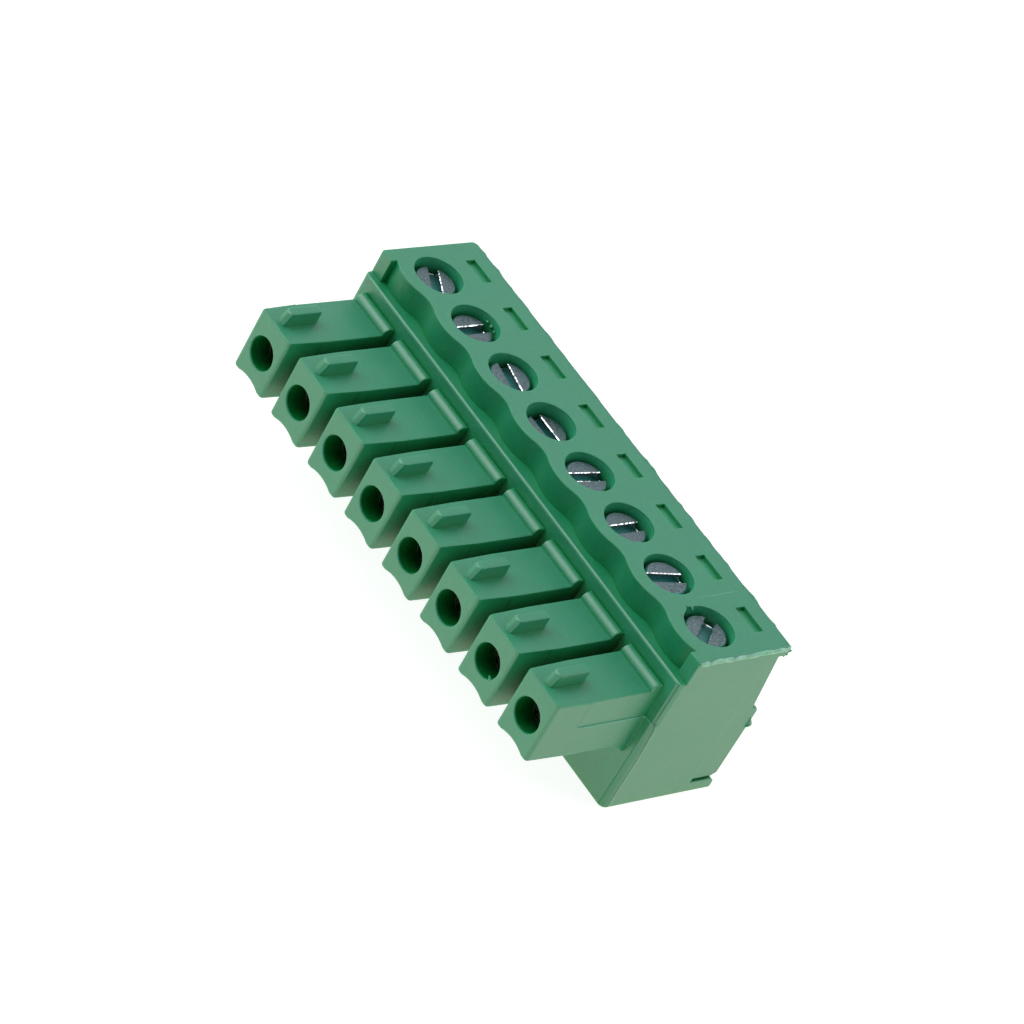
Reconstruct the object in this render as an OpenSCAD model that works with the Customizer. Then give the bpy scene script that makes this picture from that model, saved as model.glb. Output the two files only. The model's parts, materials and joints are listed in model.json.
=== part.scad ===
// Pluggable screw terminal block: a moulded housing with socket fingers, and in each pole a screw,
// a rising box clamp and a stamped socket contact.
// X runs along the row, the fingers point to -Y, the wires enter from +Y and the screws face +Z.
// The origin is at the centre of the footprint, on the face that the block rests on.

/* [Row] */
// Number of poles
poles = 8; // [1:1:12]
// Distance from one pole to the next
pitch = 3.81; // [3.81:0.01:5.08]
// Distance from the last pole to the outer face of the end wall
end_margin = 2.3; // [2.25:0.05:3]

/* [Body] */
// Height of the body, from the resting face to the top face
body_h = 10.9; // [10.7:0.1:12]
// Depth of the body at its foot, from the front wall to the rear face
body_depth = 7.95; // [7.8:0.05:9]
// Depth of the flat top, from the front wall to its rear edge
top_depth = 7.3; // [7:0.05:7.6]
// How far the rear wall leans in, from the top of the wire collar to the top plate
rear_lean = 0.7; // [0.2:0.05:0.9]
// Height of the wire collar, the straight lower part of the rear face
collar_h = 6.2; // [6:0.1:6.6]
// Radius of the collar's upper rear edge
collar_r = 0.45; // [0.1:0.05:0.5]
// Thickness of the top plate where it stands out over the rear wall
top_plate_t = 0.6; // [0.3:0.05:0.9]
// Radius of the top plate's two rear corners
top_corner_r = 0.35; // [0.1:0.05:0.6]
// Radius of the two upright front corners
corner_r = 0.4; // [0.1:0.05:0.5]

/* [Ledge and scallops] */
// Height of the ledge below the top face
ledge_drop = 1.55; // [1.2:0.05:1.9]
// Radius of the ledge's front edge
ledge_r = 0.16; // [0.05:0.01:0.3]
// Depth of the ledge at the crest of a scallop
ledge_depth = 0.65; // [0.4:0.05:0.8]
// Depth from a scallop's crest to the valley between two scallops
scallop_depth = 0.38; // [0.2:0.02:0.44]
// Radius of a scallop's crest
crest_r = 3.2; // [2.8:0.1:4]
// Width of the rib at each end of the scallops
rib_w = 0.9; // [0.5:0.05:1]
// How far an end rib stands forward of the scallops' crests
rib_step = 0.1; // [0:0.05:0.3]

/* [Fingers] */
// Length of a finger, from its tip to the body's front wall
finger_len = 7.1; // [6.5:0.1:9]
// Width of a finger at its root
finger_w = 3.05; // [2.9:0.05:3.2]
// How much narrower a finger's tip is than its root
tip_taper = 0.2; // [0:0.02:0.3]
// Length of the tapered stretch at the tip
taper_len = 2.8; // [1:0.1:4]
// Height of a finger
finger_h = 4.05; // [3.8:0.05:4.6]
// Height of the socket's axis above the resting face
socket_z = 6.17; // [6.1:0.01:6.3]
// Radius of the finger's upright tip edges
tip_r = 0.22; // [0.05:0.01:0.4]
// Width of the hollow along the underside
hollow_w = 1.9; // [1:0.1:2.2]
// Depth of the hollow along the underside
hollow_d = 0.2; // [0.05:0.01:0.3]
// Radius of the fillet between a finger's side and the front wall
root_r = 0.15; // [0.05:0.05:0.35]
// Length of the gusset under a finger's root
gusset_len = 0.9; // [0.3:0.1:1.5]
// Height of the gusset under a finger's root
gusset_h = 0.75; // [0.3:0.05:1.2]
// Radius of the half-round ridge across a finger's root
ridge_r = 0.42; // [0.2:0.02:0.6]
// Distance from the ridge's axis to the front wall
ridge_gap = 0.24; // [0:0.02:0.6]
// How far the upper insert of the mould leaves the faces above its lower edge set back
insert_step = 0.06; // [0.02:0.01:0.15]
// Distance from the tip to where the insert's face begins
insert_from = 2.3; // [1:0.1:4]
// Height of the insert's lower edge above the resting face
insert_z = 6.32; // [6.2:0.02:6.6]

/* [Coding rib] */
// Width of the coding rib
key_w = 0.66; // [0.4:0.02:0.9]
// Height of the coding rib above the finger
key_h = 0.84; // [0.4:0.02:1]
// Distance from the tip to the rib's foot
key_from = 0.33; // [0.2:0.01:1]
// How far the rib's front face leans back over its height
key_lean = 0.36; // [0:0.02:0.6]
// Distance from the tip to the rib's rear end
key_to = 2.82; // [2:0.02:4]
// How far the rib's middle lies from the finger's middle, towards the first pole
key_offset = 0.2; // [0:0.02:0.4]

/* [Screw wells and marks] */
// Distance from the finger's root to the screw's axis
well_from_root = 3; // [2.9:0.05:3.3]
// Radius of the well that the screw's head lies in
well_r = 1.45; // [1.3:0.01:1.55]
// Depth of the well, from the top face to the seat of the head
well_depth = 1.55; // [1.5:0.05:1.65]
// Distance from the screw's axis to the middle of the mark behind it
mark_from_screw = 2.9; // [2.6:0.05:3.2]
// Width of a mark
mark_w = 1.78; // [1:0.02:2]
// Depth of a mark, front to rear
mark_len = 0.66; // [0.3:0.02:0.8]
// How deep a mark is sunk
mark_sink = 0.22; // [0.05:0.01:0.4]

/* [Chambers] */
// Height of the chamber's floor above the resting face
floor_t = 1.4; // [0.8:0.1:2]
// Thickness of the roof, from the chamber to the seat of the screw's head
seat_t = 0.45; // [0.3:0.05:0.5]
// Height of the wire opening
entry_h = 4.2; // [3.6:0.1:4.3]
// Length of the flare at the wire opening
flare_len = 0.55; // [0.2:0.05:1]
// How far the flare widens the opening on each side
flare_w = 0.28; // [0.1:0.02:0.32]
// Thickness of the wall at the finger's tip, in front of the contact
tip_wall = 1.5; // [1:0.1:2]
// Radius of the round hole in the finger's tip
pin_hole_r = 0.95; // [0.7:0.01:1]
// Width of the tunnel that holds the contact
tunnel_w = 2.1; // [2.05:0.01:2.2]
// Height of the tunnel that holds the contact
tunnel_h = 2.3; // [2.25:0.01:2.4]

/* [End faces] */
// Distance from the front wall to the set-back strip at the rear of an end face
strip_from = 6.1; // [5.5:0.1:7]
// How far the strip is set back
strip_step = 0.1; // [0.03:0.01:0.2]
// Height of the groove's lower edge above the resting face
groove_z = 0.72; // [0.4:0.02:0.9]
// Height of the groove
groove_h = 0.12; // [0.06:0.02:0.4]
// Depth of the groove
groove_d = 0.3; // [0.2:0.02:0.5]
// Length of the notch that the groove widens into at the rear
notch_len = 0.3; // [0.1:0.05:0.6]
// How far the notch widens the groove, up and down
notch_rise = 0.22; // [0.1:0.02:0.3]

/* [Screws] */
// Nominal radius of the screw's shank
shank_r = 0.95; // [0.9:0.01:0.95]
// Gap between the end of a screw on its seat and the contact's bar
shank_gap = 0.08; // [0.05:0.01:0.3]
// Radius of the screw's head
head_r = 1.22; // [1.12:0.01:1.25]
// Height of the screw's head
head_h = 0.9; // [0.8:0.05:1]
// Width of the bevel round the head
head_bevel = 0.09; // [0.02:0.01:0.15]
// Width of the driver slot
slot_w = 0.6; // [0.3:0.02:0.7]
// Depth of the driver slot
slot_d = 0.48; // [0.2:0.02:0.6]
// Turn of each screw's slot, in degrees from the row's direction
slot_turn = [-26, 90, -11, 0, 83, 89, 78, -51]; // [-90:1:90]
// How far each screw stands off its seat
screw_lift = [0.2, 0.15, 0.25, 0, 0.23, 0.2, 0.35, 0.25]; // [0:0.05:0.4]

/* [Clamps] */
// Depth of a clamp, front to rear
cage_len = 3.1; // [2.9:0.05:3.2]
// Thickness of a clamp's sides
cage_side = 0.33; // [0.3:0.01:0.38]
// Thickness of a clamp's floor
cage_floor = 0.55; // [0.4:0.05:0.7]
// Thickness of the tapped top
cage_top = 0.9; // [0.7:0.05:0.95]
// Radius of the clamp's outer bends
cage_bend = 0.38; // [0.2:0.02:0.4]
// Height of the open wire space, below the contact's bar
wire_space = 2.1; // [1.8:0.05:2.2]
// Depth of the teeth across the clamp's floor
tooth_d = 0.14; // [0.05:0.01:0.2]
// Number of teeth across the clamp's floor
teeth = 4; // [2:1:6]

/* [Contacts] */
// Thickness of the contact's strip
strip_t = 0.25; // [0.2:0.01:0.3]
// Length of the contact's box
box_len = 3.4; // [3:0.1:4]
// Distance from the box's mouth to where the spring arms grip the pin
grip_from = 0.85; // [0.5:0.05:1.5]
// Opening between the two spring arms
grip_gap = 0.7; // [0.5:0.02:0.8]
// How far the two arms flare outwards at the mouth
arm_flare = 0.12; // [0.05:0.01:0.2]
// Length over which an arm is joined to the box's side wall
arm_root = 0.85; // [0.5:0.05:1.2]
// Height of the spring arms
arm_h = 1.2; // [0.8:0.05:1.5]
// Width of the tail bar
bar_w = 1.6; // [1.2:0.05:1.66]
// Thickness of the tail bar
bar_t = 0.5; // [0.4:0.02:0.5]
// Distance from the end of the tail bar to the rear wall of the chamber
bar_end_gap = 0.5; // [0.3:0.05:0.8]

/* [Fits] */
// Clearance of a turning or sliding round fit, on the radius
fit_round = 0.05; // [0.03:0.01:0.08]
// Clearance between a shank and the sides of its clamp, past the round fit
fit_sides = 0.02; // [0.01:0.01:0.05]
// Clearance between a clamp and the side walls of its chamber
fit_cage = 0.1; // [0.05:0.01:0.12]
// Clearance between a clamp and the front and rear walls of its chamber
fit_cage_ends = 0.15; // [0.1:0.01:0.2]
// Clearance of the contact in its tunnel, on each side
fit_contact = 0.05; // [0.02:0.01:0.08]
// Clearance between two flat faces that slide past each other
fit_slide = 0.06; // [0.04:0.01:0.1]

/* [Hidden] */
function names(stem) = [for (i = [1:poles]) str(stem, "_", i)];
$fn = 96;
corner_steps = 4;
overlap = 0.2;
plastic = "#3f9a72";
zinc = "#8d8d99";
steel = "#b4b6ba";
tinned = "#c9c5b8";

row_w = (poles - 1) * pitch + 2 * end_margin;
total_depth = finger_len + body_depth;
tip_y = -total_depth / 2;
front_y = tip_y + finger_len;
rear_y = tip_y + total_depth;
top_rear_y = front_y + top_depth;
ledge_z = body_h - ledge_drop;
crest_y = front_y + ledge_depth;
rib_y = crest_y - rib_step;
screw_y = front_y + well_from_root;
finger_z = socket_z - finger_h / 2;
finger_top = finger_z + finger_h;
seat_z = body_h - well_depth;
roof_z = seat_z - seat_t;
entry_top = floor_t + entry_h;

// A clamp is as wide as its screw needs, and its chamber as wide as the clamp needs
bore_r = shank_r + fit_round;
cage_inner = bore_r + fit_sides;
cage_w = 2 * (cage_inner + cage_side);
chamber_w = cage_w + 2 * fit_cage;
chamber_len = cage_len + 2 * fit_cage_ends;
chamber_y = screw_y - chamber_len / 2;
chamber_rear = chamber_y + chamber_len;
cage_y = screw_y - cage_len / 2;

// Contact and clamp heights follow the socket's axis
bar_z = socket_z - bar_t / 2;
bar_top = bar_z + bar_t;
cage_z = bar_z - wire_space - cage_floor;
block_z = bar_top + fit_slide;
cage_h = block_z + cage_top - cage_z;
shank_len = seat_z - shank_gap - bar_top;
contact_y = tip_y + tip_wall + 2 * fit_contact;
box_w = tunnel_w - 2 * fit_contact;
box_h = tunnel_h - 2 * fit_contact;
box_z = socket_z - box_h / 2;
bar_end = chamber_rear - bar_end_gap;

function pole_x(i) = (i - (poles + 1) / 2) * pitch;

// Points on an arc about c, from angle a0 to a1
function arc(c, r, a0, a1) = [
    for (k = [0:corner_steps])
        let (a = a0 + (a1 - a0) * k / corner_steps) c + r * [cos(a), sin(a)]
];

// Turns a drawing of depth and height into a bar that runs along the row, centred on it
module along_row(length) {
    rotate([90, 0, 90])
        translate([0, 0, -length / 2])
            linear_extrude(length)
                children();
}

// A drawing of width and height pushed back from y0 over a length
module along_depth(y0, length) {
    translate([0, y0 + length, 0])
        rotate([90, 0, 0])
            linear_extrude(length)
                children();
}

module block(x0, x1, y0, y1, z0, z1) {
    translate([x0, y0, z0])
        cube([x1 - x0, y1 - y0, z1 - z0]);
}

// What rounds a square corner at the origin whose material lies towards +x +y
module corner_waste(r) {
    difference() {
        translate([-overlap, -overlap])
            square(r + overlap);
        translate([r, r])
            circle(r);
    }
}

module at_poles() {
    for (i = [1:poles])
        translate([pole_x(i), 0, 0])
            children();
}

// Depth of the leaning rear wall at a height
function lean_y(z) =
    let (low = collar_h - collar_r, high = body_h - top_plate_t)
    rear_y - collar_r - rear_lean * (z - low) / (high - low);

// Side view of the body: the wire collar, the leaning rear wall and the top plate
module body_section() {
    difference() {
        union() {
            translate([front_y, 0])
                square([body_depth, collar_h]);
            polygon([
                [front_y, collar_h - collar_r],
                [rear_y - collar_r, collar_h - collar_r],
                [lean_y(body_h - top_plate_t), body_h - top_plate_t],
                [top_rear_y, body_h - top_plate_t],
                [top_rear_y, body_h],
                [front_y, body_h]
            ]);
        }
        translate([rear_y, collar_h])
            rotate(180)
                corner_waste(collar_r);
    }
}

// The scallops follow two arcs that meet in the same slope: a wide crest and a narrow valley
crest_half = let (a = valley_angle()) crest_r * sin(a);
valley_r = (pitch / 2 - crest_half) / sin(valley_angle());
function valley_angle() = 2 * atan(scallop_depth / (pitch / 2));

module upper_plan() {
    side = row_w / 2;
    meet_y = crest_y + crest_r * (1 - cos(valley_angle()));
    difference() {
        union() {
            translate([-side, meet_y])
                square([row_w, total_depth]);
            intersection() {
                union() {
                    for (i = [1:poles])
                        translate([pole_x(i), crest_y + crest_r])
                            circle(crest_r);
                }
                translate([-side, crest_y - overlap])
                    square([row_w, crest_r]);
            }
        }
        for (i = [0:poles])
            translate([pole_x(i + 0.5), crest_y + scallop_depth - valley_r])
                circle(valley_r);
    }
    for (s = [0, 1])
        mirror([s, 0])
            translate([side - rib_w, rib_y])
                square([rib_w, total_depth]);
}

// Plan of the body below the ledge, with its front wall at a depth
module lower_plan(wall_y) {
    side = row_w / 2;
    difference() {
        translate([-side, wall_y])
            square([row_w, rear_y - wall_y]);
        for (s = [0, 1])
            mirror([s, 0])
                translate([-side, wall_y])
                    corner_waste(corner_r);
    }
}

// What stands in front of the scallops, above the ledge, and is not part of the body
module front_waste() {
    translate([0, 0, ledge_z])
        linear_extrude(body_h)
            difference() {
                translate([-row_w, front_y - overlap])
                    square([2 * row_w, ledge_depth + scallop_depth + 2 * overlap]);
                upper_plan();
            }
    along_row(row_w + 2 * overlap)
        translate([front_y + insert_step, ledge_z])
            mirror([0, 1])
                corner_waste(ledge_r);
}

// What rounds the top plate's two rear corners
module rear_waste() {
    translate([0, 0, body_h - top_plate_t])
        linear_extrude(top_plate_t + overlap)
            for (s = [0, 1])
                mirror([s, 0])
                    translate([row_w / 2, top_rear_y])
                        rotate(180)
                            corner_waste(top_corner_r);
}

module body() {
    difference() {
        intersection() {
            along_row(row_w)
                body_section();
            union() {
                linear_extrude(insert_z)
                    lower_plan(front_y);
                linear_extrude(body_h)
                    lower_plan(front_y + insert_step);
            }
        }
        front_waste();
        rear_waste();
    }
}

module finger_plan() {
    root = finger_w / 2;
    tip = root - tip_taper / 2;
    polygon(concat(
        [[root, front_y + overlap], [root, tip_y + taper_len]],
        arc([tip - tip_r, tip_y + tip_r], tip_r, 0, -90),
        arc([tip_r - tip, tip_y + tip_r], tip_r, -90, -180),
        [[-root, tip_y + taper_len], [-root, front_y + overlap]]
    ));
}

// Fillets where a finger's two sides run into the front wall, below the insert's lower edge
module root_fillets() {
    for (s = [0, 1])
        mirror([s, 0])
            difference() {
                translate([finger_w / 2 - overlap, front_y - root_r])
                    square([root_r + overlap, root_r + overlap]);
                translate([finger_w / 2 + root_r, front_y - root_r])
                    circle(root_r);
            }
}

module finger_side_view() {
    translate([front_y - ridge_gap, finger_top])
        circle(ridge_r);
    polygon([
        [front_y - gusset_len, finger_z],
        [front_y + overlap, finger_z - gusset_h],
        [front_y + overlap, finger_z + overlap],
        [front_y - gusset_len, finger_z + overlap]
    ]);
}

module key_side_view() {
    polygon([
        [tip_y + key_from, finger_top - overlap],
        [tip_y + key_from, finger_top],
        [tip_y + key_from + key_lean, finger_top + key_h],
        [tip_y + key_to, finger_top + key_h],
        [tip_y + key_to, finger_top - overlap]
    ]);
}

module finger() {
    hollow_r = (pow(hollow_w / 2, 2) + pow(hollow_d, 2)) / (2 * hollow_d);
    difference() {
        translate([0, 0, finger_z])
            linear_extrude(finger_h)
                finger_plan();
        translate([0, tip_y - overlap, finger_z + hollow_d - hollow_r])
            rotate([-90, 0, 0])
                cylinder(r = hollow_r, h = finger_len - gusset_len);
    }
    translate([0, 0, finger_z])
        linear_extrude(insert_z - finger_z)
            root_fillets();
    along_row(finger_w)
        finger_side_view();
    translate([-key_offset, 0, 0])
        along_row(key_w)
            key_side_view();
}

// The hole for the pin and the tunnel for the contact, as one hollow
module socket_hollow() {
    translate([0, tip_y - overlap, socket_z])
        rotate([-90, 0, 0])
            cylinder(r = pin_hole_r, h = tip_wall + 2 * overlap);
    block(-tunnel_w / 2, tunnel_w / 2, tip_y + tip_wall, chamber_y + overlap,
        socket_z - tunnel_h / 2, socket_z + tunnel_h / 2);
}

// The clamp chamber with its wire opening and the opening's flare
module chamber_hollow() {
    side = chamber_w / 2;
    block(-side, side, chamber_y, chamber_rear, floor_t, roof_z);
    block(-side, side, chamber_rear - overlap, rear_y + overlap, floor_t, entry_top);
    translate([0, 0, floor_t])
        linear_extrude(entry_h)
            polygon([
                [-side, rear_y - flare_len],
                [-side - flare_w, rear_y],
                [-side - flare_w, rear_y + overlap],
                [side + flare_w, rear_y + overlap],
                [side + flare_w, rear_y],
                [side, rear_y - flare_len]
            ]);
    along_row(chamber_w)
        polygon([
            [rear_y - flare_len, floor_t],
            [rear_y, floor_t - flare_w],
            [rear_y + overlap, floor_t - flare_w],
            [rear_y + overlap, floor_t + flare_w],
            [rear_y - flare_len, floor_t + flare_w]
        ]);
}

module screw_well() {
    translate([0, screw_y, seat_z])
        cylinder(r = well_r, h = well_depth + overlap);
    translate([0, screw_y, roof_z - overlap])
        cylinder(r = bore_r, h = seat_t + 2 * overlap);
}

module mark_hollow() {
    y = screw_y + mark_from_screw;
    block(-mark_w / 2, mark_w / 2, y - mark_len / 2, y + mark_len / 2,
        body_h - mark_sink, body_h + overlap);
}

// Side view of the groove under the strip, which widens into a notch at the rear
module groove_side_view() {
    y0 = front_y + strip_from;
    y1 = rear_y - notch_len;
    groove_top = groove_z + groove_h;
    polygon([
        [y0, groove_z],
        [y1, groove_z],
        [rear_y, groove_z - notch_rise],
        [rear_y + overlap, groove_z - notch_rise],
        [rear_y + overlap, groove_top + notch_rise],
        [rear_y, groove_top + notch_rise],
        [y1, groove_top],
        [y0, groove_top]
    ]);
}

// What the end faces lose: the set-back strip at the rear, and the groove under it
module end_face_hollows() {
    side = row_w / 2;
    block(side - strip_step, side + overlap, front_y + strip_from, rear_y + overlap,
        groove_z + groove_h, body_h - top_plate_t);
    translate([side, 0, 0])
        along_row(2 * groove_d)
            groove_side_view();
}

// The face that the mould's upper insert leaves set back on the side of an outermost finger
module insert_hollow() {
    flank = pole_x(poles) + finger_w / 2;
    block(flank - insert_step, flank + overlap, tip_y + insert_from, front_y + insert_step,
        insert_z, finger_top + ridge_r + overlap);
}

module housing() {
    color(plastic)
        difference() {
            union() {
                body();
                at_poles()
                    finger();
            }
            at_poles() {
                socket_hollow();
                chamber_hollow();
                screw_well();
                mark_hollow();
            }
            for (s = [0, 1])
                mirror([s, 0, 0]) {
                    end_face_hollows();
                    insert_hollow();
                }
        }
}

function of_pole(list, i) = list[(i - 1) % len(list)];

module screw(i) {
    color(zinc)
        translate([pole_x(i), screw_y, seat_z + of_pole(screw_lift, i)])
            rotate(of_pole(slot_turn, i))
                difference() {
                    union() {
                        cylinder(r = head_r, h = head_h - head_bevel);
                        translate([0, 0, head_h - head_bevel])
                            cylinder(r1 = head_r, r2 = head_r - head_bevel, h = head_bevel);
                        translate([0, 0, -shank_len + head_bevel])
                            cylinder(r = shank_r, h = shank_len);
                        translate([0, 0, -shank_len])
                            cylinder(r1 = shank_r - head_bevel, r2 = shank_r, h = head_bevel);
                    }
                    block(-head_r - overlap, head_r + overlap, -slot_w / 2, slot_w / 2,
                        head_h - slot_d, head_h + overlap);
                }
}

// Front view of a clamp: the bent strip and its tapped top
module cage_section() {
    side = cage_w / 2;
    difference() {
        translate([-side, cage_z])
            square([cage_w, cage_h]);
        translate([-cage_inner, cage_z + cage_floor])
            square([2 * cage_inner, block_z - cage_z - cage_floor]);
        for (s = [0, 1])
            mirror([s, 0]) {
                translate([-side, cage_z])
                    corner_waste(cage_bend);
                translate([-side, cage_z + cage_h])
                    mirror([0, 1])
                        corner_waste(cage_bend);
            }
    }
}

module cage(i) {
    tooth = cage_len / (2 * teeth + 1);
    color(steel)
        translate([pole_x(i), 0, 0])
            difference() {
                along_depth(cage_y, cage_len)
                    cage_section();
                translate([0, screw_y, block_z - overlap])
                    cylinder(r = bore_r, h = cage_top + 2 * overlap);
                for (k = [0:teeth - 1])
                    block(-cage_inner, cage_inner,
                        cage_y + (2 * k + 1) * tooth, cage_y + (2 * k + 2) * tooth,
                        cage_z + cage_floor - tooth_d, cage_z + cage_floor + tooth_d);
            }
}

// Plan of one spring arm: it leaves the box's side wall, closes on the pin and flares at the mouth
module arm_plan() {
    wall = box_w / 2 - strip_t;
    into_wall = wall + strip_t / 2;
    rear = contact_y + box_len;
    grip = grip_gap / 2;
    grip_y = contact_y + grip_from;
    polygon([
        [into_wall, rear],
        [wall - strip_t, rear],
        [grip, grip_y],
        [grip + arm_flare, contact_y],
        [grip + arm_flare + strip_t, contact_y],
        [grip + strip_t, grip_y],
        [wall, rear - arm_root],
        [into_wall, rear - arm_root]
    ]);
}

// Side view of the strip that runs from the box's floor up to the bar and back into the clamp
module tail_side_view() {
    rear = contact_y + box_len;
    rise = bar_z - box_z;
    polygon([
        [rear - 2 * strip_t, box_z],
        [rear, box_z],
        [rear + rise, bar_z],
        [bar_end, bar_z],
        [bar_end, bar_top],
        [rear + rise - strip_t, bar_top],
        [rear - strip_t, box_z + strip_t],
        [rear - 2 * strip_t, box_z + strip_t]
    ]);
}

module contact(i) {
    color(tinned)
        translate([pole_x(i), 0, 0]) {
            difference() {
                block(-box_w / 2, box_w / 2, contact_y, contact_y + box_len, box_z, box_z + box_h);
                block(strip_t - box_w / 2, box_w / 2 - strip_t, contact_y - overlap,
                    contact_y + box_len + overlap, box_z + strip_t, box_z + box_h - strip_t);
            }
            translate([0, 0, socket_z - arm_h / 2])
                linear_extrude(arm_h)
                    for (s = [0, 1])
                        mirror([s, 0])
                            arm_plan();
            along_row(bar_w)
                tail_side_view();
        }
}

housing();
for (i = [1:poles]) {
    screw(i);
    cage(i);
    contact(i);
}
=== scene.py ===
import json
import math

import bmesh
import bpy
from mathutils import Matrix, Vector, noise

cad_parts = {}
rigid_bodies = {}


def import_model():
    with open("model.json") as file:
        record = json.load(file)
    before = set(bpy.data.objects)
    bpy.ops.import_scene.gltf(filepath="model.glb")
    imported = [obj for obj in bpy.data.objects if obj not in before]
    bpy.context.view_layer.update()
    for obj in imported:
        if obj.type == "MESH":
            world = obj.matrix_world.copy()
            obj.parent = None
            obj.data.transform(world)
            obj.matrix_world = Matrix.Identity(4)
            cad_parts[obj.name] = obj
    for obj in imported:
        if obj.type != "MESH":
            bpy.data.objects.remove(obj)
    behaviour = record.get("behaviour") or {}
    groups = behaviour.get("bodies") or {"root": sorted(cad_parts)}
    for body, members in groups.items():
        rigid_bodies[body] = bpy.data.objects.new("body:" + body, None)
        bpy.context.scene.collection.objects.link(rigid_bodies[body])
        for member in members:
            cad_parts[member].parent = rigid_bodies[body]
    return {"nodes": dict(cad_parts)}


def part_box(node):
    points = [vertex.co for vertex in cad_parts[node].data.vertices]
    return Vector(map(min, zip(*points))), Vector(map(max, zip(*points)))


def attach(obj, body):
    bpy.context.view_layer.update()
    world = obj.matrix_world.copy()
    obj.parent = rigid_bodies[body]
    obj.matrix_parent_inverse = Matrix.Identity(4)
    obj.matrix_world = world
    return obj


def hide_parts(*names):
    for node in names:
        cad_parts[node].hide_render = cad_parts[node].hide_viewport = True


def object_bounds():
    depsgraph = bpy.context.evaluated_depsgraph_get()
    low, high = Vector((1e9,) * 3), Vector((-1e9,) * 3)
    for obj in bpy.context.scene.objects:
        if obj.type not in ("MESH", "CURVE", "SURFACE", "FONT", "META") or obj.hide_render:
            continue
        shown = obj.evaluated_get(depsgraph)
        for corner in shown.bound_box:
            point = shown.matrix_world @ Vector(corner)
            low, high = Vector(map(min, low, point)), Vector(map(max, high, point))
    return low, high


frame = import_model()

cad_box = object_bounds()
MM = 0.001

# Places closer than this, in millimetres, are one, and an edge that bends by more than this angle is sharp
weld_gap = 0.0005
sharp_angle = math.radians(35)

# Sizes of the block, in millimetres, from the frame
block_low, block_high = (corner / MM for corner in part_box("housing"))
top_z = block_high.z
tip_y = block_low.y
rear_y = block_high.y
side_x = block_high.x
poles = sum(name.startswith("screw_") for name in frame["nodes"])
screw_at = {}
for pole in range(1, poles + 1):
    low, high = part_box(f"screw_{pole}")
    screw_at[pole] = (low + high) / 2 / MM
pitch = screw_at[2].x - screw_at[1].x
screw_y = screw_at[1].y
contact_low, contact_high = (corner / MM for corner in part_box("contact_1"))
socket_z = (contact_low.z + contact_high.z) / 2

# Sizes of the moulding that the frame doesn't give, in millimetres
finger_len = 7.1
finger_h = 4.05
pin_hole_r = 0.95
insert_from_tip = 2.3
insert_z = 6.32
ledge_drop = 1.55
end_rib_set_back = 0.55
end_rib_w = 0.9
top_depth = 7.3
top_corner_r = 0.35
well_r = 1.45
mark_from_screw = 2.9

# Where its forms lie, from those
front_y = tip_y + finger_len
finger_top = socket_z + finger_h / 2
insert_y = tip_y + insert_from_tip
ledge_z = top_z - ledge_drop
end_rib_y = front_y + end_rib_set_back
top_rear_y = front_y + top_depth
mark_y = screw_y + mark_from_screw

# How far the mould rounds its outer edges, in millimetres
edge_r = 0.07
finger_edge_r = 0.13
rib_edge_r = 0.17
rib_nose_r = 0.25
insert_edge_r = 0.02
well_rim_r = 0.08
mark_rim_r = 0.03

# The screws, in millimetres and degrees. The saw left ridges along two slots, this far off their middle
head_h = 0.9
slot_w = 0.6
slot_d = 0.48
slot_turn = (-26, 90, -11, 0, 83, 89, 78, -51)
slot_edge_w = 0.04
saw_ridges = {5: (-0.1, 0.13), 3: (0.05,)}
saw_ridge_ends = (-1.1, 0.6)
saw_ridge_r = 0.02
burr_off_axis = 1.13
burr_r = 0.045
thread_pitch = 0.4
thread_run_out = 0.2
thread_r = 0.95
core_r = 0.72

# How far the edges of the clamps and the contacts are rounded, in millimetres
strip_edge_r = 0.03


# Tools for meshes: a piece is worked on in millimetres and ends in metres

def only(*pieces):
    """Selects these pieces alone, with the first one active."""
    bpy.ops.object.select_all(action="DESELECT")
    for piece in pieces:
        piece.select_set(True)
    bpy.context.view_layer.objects.active = pieces[0]


def edit(piece, action="SELECT"):
    """Opens a piece in edit mode with all of it selected, or none of it."""
    only(piece)
    bpy.ops.object.mode_set(mode="EDIT")
    bpy.ops.mesh.select_all(action=action)


def close():
    """Leaves edit mode."""
    bpy.ops.object.mode_set(mode="OBJECT")


def merged_copy(node, name, *materials):
    """A copy of a CAD node with its loose triangles joined into flat faces, and its materials."""
    piece = bpy.data.objects.new(name, frame["nodes"][node].data.copy())
    bpy.context.scene.collection.objects.link(piece)
    piece.data.materials.clear()
    for material in materials:
        piece.data.materials.append(material)
    piece.data.transform(Matrix.Scale(1 / MM, 4))
    edit(piece)
    bpy.ops.mesh.remove_doubles(threshold=weld_gap)
    bpy.ops.mesh.customdata_custom_splitnormals_clear()
    bpy.ops.mesh.dissolve_limited(angle_limit=math.radians(0.5), delimit={"NORMAL"})
    close()
    return piece


def cut_between_poles(piece):
    """Cuts the faces of a piece midway between the poles, so that no face is long and winding."""
    for pole in range(1, poles):
        midway = (screw_at[pole].x + pitch / 2, 0, 0)
        edit(piece)
        bpy.ops.mesh.bisect(plane_co=midway, plane_no=(1, 0, 0), threshold=0.001)
        close()


def apply(piece, kind, **settings):
    """Adds a modifier with its settings and applies it."""
    only(piece)
    modifier = piece.modifiers.new(kind.title(), kind)
    for name, value in settings.items():
        setattr(modifier, name, value)
    bpy.ops.object.modifier_apply(modifier=modifier.name)


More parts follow.
